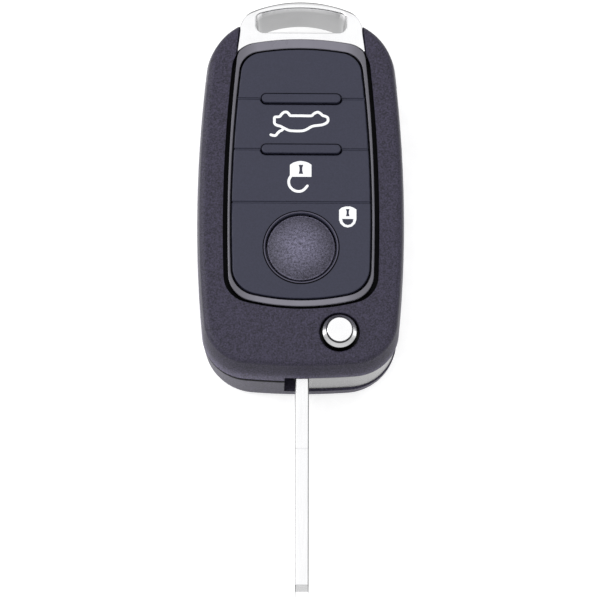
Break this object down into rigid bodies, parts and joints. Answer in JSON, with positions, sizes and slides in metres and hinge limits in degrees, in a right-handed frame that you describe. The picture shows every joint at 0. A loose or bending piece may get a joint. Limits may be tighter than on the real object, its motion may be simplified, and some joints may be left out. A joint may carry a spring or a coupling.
{
  "type": "flip key fob shell",
  "caption": "Car remote key in a moulded case with press buttons, a chromed key-ring loop and a blade that flips out.",
  "frame": {"origin": "middle of the flat rear face of the case, which lies on its back", "axes": "+X across the case towards the release button's side, +Y towards the key-ring loop, +Z out of the button face"},
  "size_m": [0.0383, 0.1128, 0.0169],
  "materials": {
    "shell_plastic": "fine moulded texture, dark charcoal",
    "loop_chrome": "bright chrome plating",
    "bezel_plastic": "satin dark grey",
    "panel_rubber": "smooth matt soft-touch",
    "lock_rubber": "fine stippled soft-touch",
    "button_chrome": "polished chrome plating",
    "head_chrome": "satin chrome plating",
    "blade_steel": "nickel plated, fine grinding marks",
    "pin_steel": "plain steel",
    "spring_steel": "spring steel wire",
    "board_laminate": "green solder mask",
    "switch_plastic": "black switch housing",
    "plunger_plastic": "switch plunger",
    "cell_steel": "stainless can",
    "clip_brass": "tinned spring brass",
    "chip_plastic": "black chip case"
  },
  "bodies": {
    "case": {"front_shell": "shell_plastic", "rear_shell": "shell_plastic", "keyring_loop": "loop_chrome", "pad_bezel": "bezel_plastic", "button_pad": "panel_rubber", "flip_spring": "spring_steel", "circuit_board": "board_laminate", "coin_cell": "cell_steel", "negative_clip": "clip_brass", "positive_clip": "clip_brass", "radio_chip": "chip_plastic", "transponder_coil": "chip_plastic", "case_screw": "pin_steel", "tailgate_switch": "switch_plastic", "unlock_switch": "switch_plastic", "lock_switch": "switch_plastic"},
    "blade": {"flip_head": "head_chrome", "key_blade": "blade_steel", "blade_pin": "pin_steel"},
    "release": {"release_button": "button_chrome"},
    "tailgate_key": {"tailgate_button": "panel_rubber", "tailgate_plunger": "plunger_plastic"},
    "unlock_key": {"unlock_button": "panel_rubber", "unlock_plunger": "plunger_plastic"},
    "lock_key": {"lock_button": "lock_rubber", "lock_plunger": "plunger_plastic"}
  },
  "joints": [
    {"name": "blade_flip", "type": "hinge", "parent": "case", "child": "blade", "pos_m": [0.0071, -0.02735, 0.007], "axis": [0, 0, 1], "range_deg": [0, 180], "stiffness_Nm_per_rad": 0.004, "springref_deg": -34.38},
    {"name": "release_press", "type": "slide", "parent": "case", "child": "release", "axis": [0, 0, -1], "range_m": [0, 0.0012], "stiffness_N_per_m": 1200, "deforming": ["flip_spring"]},
    {"name": "tailgate_press", "type": "slide", "parent": "case", "child": "tailgate_key", "axis": [0, 0, -1], "range_m": [0, 0.0005], "stiffness_N_per_m": 1500},
    {"name": "unlock_press", "type": "slide", "parent": "case", "child": "unlock_key", "axis": [0, 0, -1], "range_m": [0, 0.0005], "stiffness_N_per_m": 1500},
    {"name": "lock_press", "type": "slide", "parent": "case", "child": "lock_key", "axis": [0, 0, -1], "range_m": [0, 0.0005], "stiffness_N_per_m": 1500}
  ]
}
